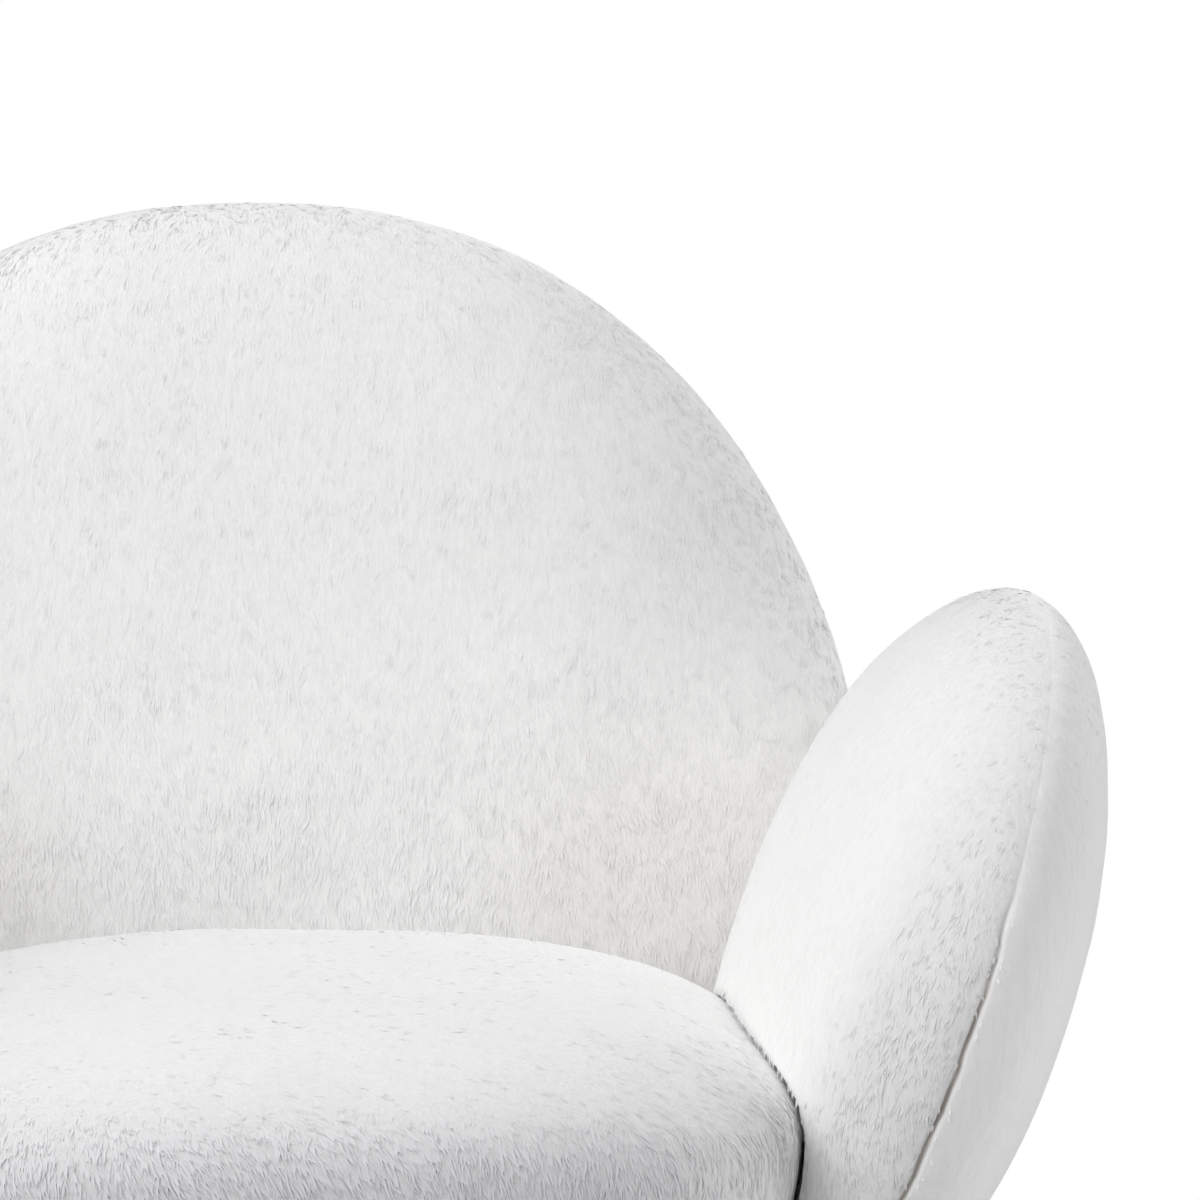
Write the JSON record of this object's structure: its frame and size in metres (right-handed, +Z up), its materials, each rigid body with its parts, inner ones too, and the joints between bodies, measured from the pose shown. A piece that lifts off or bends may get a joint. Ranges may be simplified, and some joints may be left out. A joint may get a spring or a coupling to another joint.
{
  "type": "folding upholstered petal armchair",
  "caption": "Low armchair with domed back, petal arms and a crowned seat pad in white imitation fur, on hinged steel leg frames that fold flat under the seat.",
  "frame": {"origin": "on the floor, under the middle of the chair's overall footprint", "axes": "+X to the sitter's left, +Y to the rear, so the front faces -Y, and +Z up"},
  "size_m": [0.7876, 0.69, 0.7899],
  "materials": {
    "fur_fabric": "white short-pile imitation fur",
    "foam": "open-cell polyurethane foam",
    "lining": "black non-woven lining",
    "plywood": "raw birch plywood",
    "black_steel": "satin black powder coat",
    "zinc_steel": "bright zinc plate",
    "insert_brass": "plain brass",
    "bush_nylon": "natural nylon",
    "black_rubber": "moulded black rubber"
  },
  "bodies": {
    "upholstered_body": {"seat_cover": "fur_fabric", "seat_cushion_foam": "foam", "seat_cushion_base": "lining", "base_cover": "fur_fabric", "base_pad": "foam", "base_board": "plywood", "dust_cover": "lining", "back_panel": "plywood", "back_foam_front": "foam", "back_foam_rear": "foam", "back_cover_front": "fur_fabric", "back_cover_rear": "fur_fabric", "right_arm_panel": "plywood", "right_arm_foam_inner": "foam", "right_arm_foam_outer": "foam", "right_arm_cover_inner": "fur_fabric", "right_arm_cover_outer": "fur_fabric", "left_arm_panel": "plywood", "left_arm_foam_inner": "foam", "left_arm_foam_outer": "foam", "left_arm_cover_inner": "fur_fabric", "left_arm_cover_outer": "fur_fabric", "long_rails": "black_steel", "cross_rails": "black_steel", "rail_end_caps": "black_rubber", "board_bolts": "zinc_steel", "tee_nuts": "zinc_steel", "arm_brackets": "black_steel", "arm_bracket_bolts": "zinc_steel", "back_brackets": "black_steel", "back_bracket_bolts": "zinc_steel", "threaded_inserts": "insert_brass", "front_hinge_blocks": "black_steel", "rear_hinge_blocks": "black_steel", "front_bushes": "bush_nylon", "rear_bushes": "bush_nylon", "stop_pads": "black_rubber"},
    "front_leg_frame": {"front_axle_tube": "black_steel", "front_leg_tubes": "black_steel", "front_stretcher": "black_steel", "front_axle_caps": "black_rubber", "front_collars": "black_steel", "front_stop_lugs": "black_steel", "front_feet": "black_rubber"},
    "rear_leg_frame": {"rear_axle_tube": "black_steel", "rear_leg_tubes": "black_steel", "rear_stretcher": "black_steel", "rear_axle_caps": "black_rubber", "rear_collars": "black_steel", "rear_stop_lugs": "black_steel", "rear_feet": "black_rubber"}
  },
  "joints": [
    {"name": "front_legs_fold", "type": "hinge", "parent": "upholstered_body", "child": "front_leg_frame", "pos_m": [0, -0.238, 0.227], "axis": [1, 0, 0], "range_deg": [0, 100]},
    {"name": "rear_legs_fold", "type": "hinge", "parent": "upholstered_body", "child": "rear_leg_frame", "pos_m": [0, 0.238, 0.227], "axis": [-1, 0, 0], "range_deg": [0, 100]}
  ]
}
